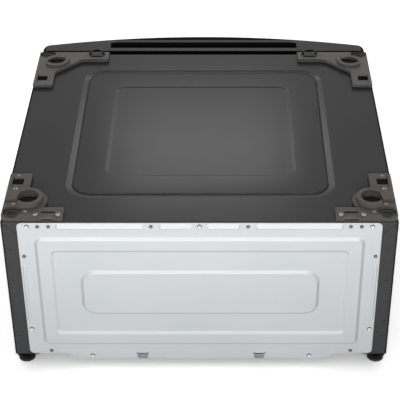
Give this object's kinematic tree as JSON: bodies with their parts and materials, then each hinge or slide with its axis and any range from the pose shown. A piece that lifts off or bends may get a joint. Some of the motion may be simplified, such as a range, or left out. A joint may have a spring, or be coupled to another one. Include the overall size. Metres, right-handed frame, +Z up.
{
  "type": "laundry pedestal",
  "caption": "Low steel laundry pedestal: deep drawer with a bowed front on ball slides, moulded corner brackets with sockets for an appliance's feet, levelling feet below.",
  "frame": {"origin": "on the floor under the middle of the whole pedestal", "axes": "+Z up, -Y out of the drawer front, +X to the right-hand side of a person behind the drawer front looking +Y"},
  "size_m": [0.737, 0.7539, 0.3715],
  "materials": {
    "charcoal_paint": "satin paint",
    "pale_coat": "pale coated steel",
    "bracket_plastic": "moulded, fine grain",
    "galvanised_steel": "galvanised",
    "box_coat": "pale grey paint",
    "slide_steel": "bright zinc plate",
    "bearing_steel": "polished",
    "bright_zinc": "zinc plate",
    "black_screw": "black coat",
    "dark_plastic": "matt black",
    "rubber": "matt"
  },
  "bodies": {
    "cabinet": {"cabinet_shell": "charcoal_paint", "rear_panel": "pale_coat", "front_top_rail": "galvanised_steel", "front_bottom_rail": "galvanised_steel", "rear_bottom_rail": "galvanised_steel", "bracket_screws": "bright_zinc", "rear_panel_bright_screws": "bright_zinc", "rear_panel_dark_screws": "black_screw", "slide_screws": "bright_zinc", "foot_weld_nuts": "bright_zinc", "foot_lock_nuts": "bright_zinc", "left_outer_rail": "slide_steel", "right_outer_rail": "slide_steel", "rear_left_post": "charcoal_paint", "rear_right_post": "charcoal_paint", "front_left_post": "charcoal_paint", "front_right_post": "charcoal_paint", "rear_left_bracket": "bracket_plastic", "rear_right_bracket": "bracket_plastic", "front_left_bracket": "bracket_plastic", "front_right_bracket": "bracket_plastic", "rear_left_foot_plate": "charcoal_paint", "rear_right_foot_plate": "charcoal_paint", "front_left_foot_plate": "charcoal_paint", "front_right_foot_plate": "charcoal_paint"},
    "drawer": {"drawer_front_skin": "charcoal_paint", "drawer_front_liner": "box_coat", "handle_pocket": "dark_plastic", "drawer_bumpers": "rubber", "drawer_back": "box_coat", "drawer_bottom": "box_coat", "drawer_front_screws": "bright_zinc", "inner_rail_screws": "bright_zinc", "left_drawer_wall": "box_coat", "right_drawer_wall": "box_coat", "left_inner_rail": "slide_steel", "right_inner_rail": "slide_steel"},
    "left_slide_middle": {"left_middle_rail": "slide_steel"},
    "left_outer_cage": {"left_outer_ball_cage": "slide_steel", "left_outer_balls": "bearing_steel"},
    "left_inner_cage": {"left_inner_ball_cage": "slide_steel", "left_inner_balls": "bearing_steel"},
    "right_slide_middle": {"right_middle_rail": "slide_steel"},
    "right_outer_cage": {"right_outer_ball_cage": "slide_steel", "right_outer_balls": "bearing_steel"},
    "right_inner_cage": {"right_inner_ball_cage": "slide_steel", "right_inner_balls": "bearing_steel"},
    "rear_left_sole": {"rear_left_foot_sole": "rubber"},
    "rear_left_leg": {"rear_left_foot_base": "dark_plastic", "rear_left_foot_stud": "bright_zinc"},
    "rear_right_sole": {"rear_right_foot_sole": "rubber"},
    "rear_right_leg": {"rear_right_foot_base": "dark_plastic", "rear_right_foot_stud": "bright_zinc"},
    "front_left_sole": {"front_left_foot_sole": "rubber"},
    "front_left_leg": {"front_left_foot_base": "dark_plastic", "front_left_foot_stud": "bright_zinc"},
    "front_right_sole": {"front_right_foot_sole": "rubber"},
    "front_right_leg": {"front_right_foot_base": "dark_plastic", "front_right_foot_stud": "bright_zinc"}
  },
  "joints": [
    {"name": "drawer_slide", "type": "slide", "parent": "cabinet", "child": "drawer", "axis": [0, -1, 0], "range_m": [0, 0.45]},
    {"name": "left_slide_middle_run", "type": "slide", "parent": "cabinet", "child": "left_slide_middle", "axis": [0, -1, 0], "range_m": [0, 0.2251]},
    {"name": "left_outer_cage_run", "type": "slide", "parent": "cabinet", "child": "left_outer_cage", "axis": [0, -1, 0], "range_m": [0, 0.1126]},
    {"name": "left_inner_cage_run", "type": "slide", "parent": "cabinet", "child": "left_inner_cage", "axis": [0, -1, 0], "range_m": [0, 0.3376]},
    {"name": "right_slide_middle_run", "type": "slide", "parent": "cabinet", "child": "right_slide_middle", "axis": [0, -1, 0], "range_m": [0, 0.2251]},
    {"name": "right_outer_cage_run", "type": "slide", "parent": "cabinet", "child": "right_outer_cage", "axis": [0, -1, 0], "range_m": [0, 0.1126]},
    {"name": "right_inner_cage_run", "type": "slide", "parent": "cabinet", "child": "right_inner_cage", "axis": [0, -1, 0], "range_m": [0, 0.3376]},
    {"name": "rear_left_foot_travel", "type": "slide", "parent": "cabinet", "child": "rear_left_sole", "axis": [0, 0, -1], "range_m": [0, 0.01805]},
    {"name": "rear_left_foot_turn", "type": "hinge", "parent": "rear_left_sole", "child": "rear_left_leg", "pos_m": [-0.35, 0.349, 0.02], "axis": [0, 0, -1], "range_deg": [0, 4320]},
    {"name": "rear_right_foot_travel", "type": "slide", "parent": "cabinet", "child": "rear_right_sole", "axis": [0, 0, -1], "range_m": [0, 0.01805]},
    {"name": "rear_right_foot_turn", "type": "hinge", "parent": "rear_right_sole", "child": "rear_right_leg", "pos_m": [0.35, 0.349, 0.02], "axis": [0, 0, -1], "range_deg": [0, 4320]},
    {"name": "front_left_foot_travel", "type": "slide", "parent": "cabinet", "child": "front_left_sole", "axis": [0, 0, -1], "range_m": [0, 0.01805]},
    {"name": "front_left_foot_turn", "type": "hinge", "parent": "front_left_sole", "child": "front_left_leg", "pos_m": [-0.35, -0.262, 0.02], "axis": [0, 0, -1], "range_deg": [0, 4320]},
    {"name": "front_right_foot_travel", "type": "slide", "parent": "cabinet", "child": "front_right_sole", "axis": [0, 0, -1], "range_m": [0, 0.01805]},
    {"name": "front_right_foot_turn", "type": "hinge", "parent": "front_right_sole", "child": "front_right_leg", "pos_m": [0.35, -0.262, 0.02], "axis": [0, 0, -1], "range_deg": [0, 4320]}
  ],
  "couplings": [
    {"joint": "left_slide_middle_run", "follows": "drawer_slide", "ratio": 0.5},
    {"joint": "left_outer_cage_run", "follows": "drawer_slide", "ratio": 0.25},
    {"joint": "left_inner_cage_run", "follows": "drawer_slide", "ratio": 0.75},
    {"joint": "right_slide_middle_run", "follows": "drawer_slide", "ratio": 0.5},
    {"joint": "right_outer_cage_run", "follows": "drawer_slide", "ratio": 0.25},
    {"joint": "right_inner_cage_run", "follows": "drawer_slide", "ratio": 0.75},
    {"joint": "rear_left_foot_travel", "follows": "rear_left_foot_turn", "m_per_rad": 0.00023873},
    {"joint": "rear_right_foot_travel", "follows": "rear_right_foot_turn", "m_per_rad": 0.00023873},
    {"joint": "front_left_foot_travel", "follows": "front_left_foot_turn", "m_per_rad": 0.00023873},
    {"joint": "front_right_foot_travel", "follows": "front_right_foot_turn", "m_per_rad": 0.00023873}
  ]
}
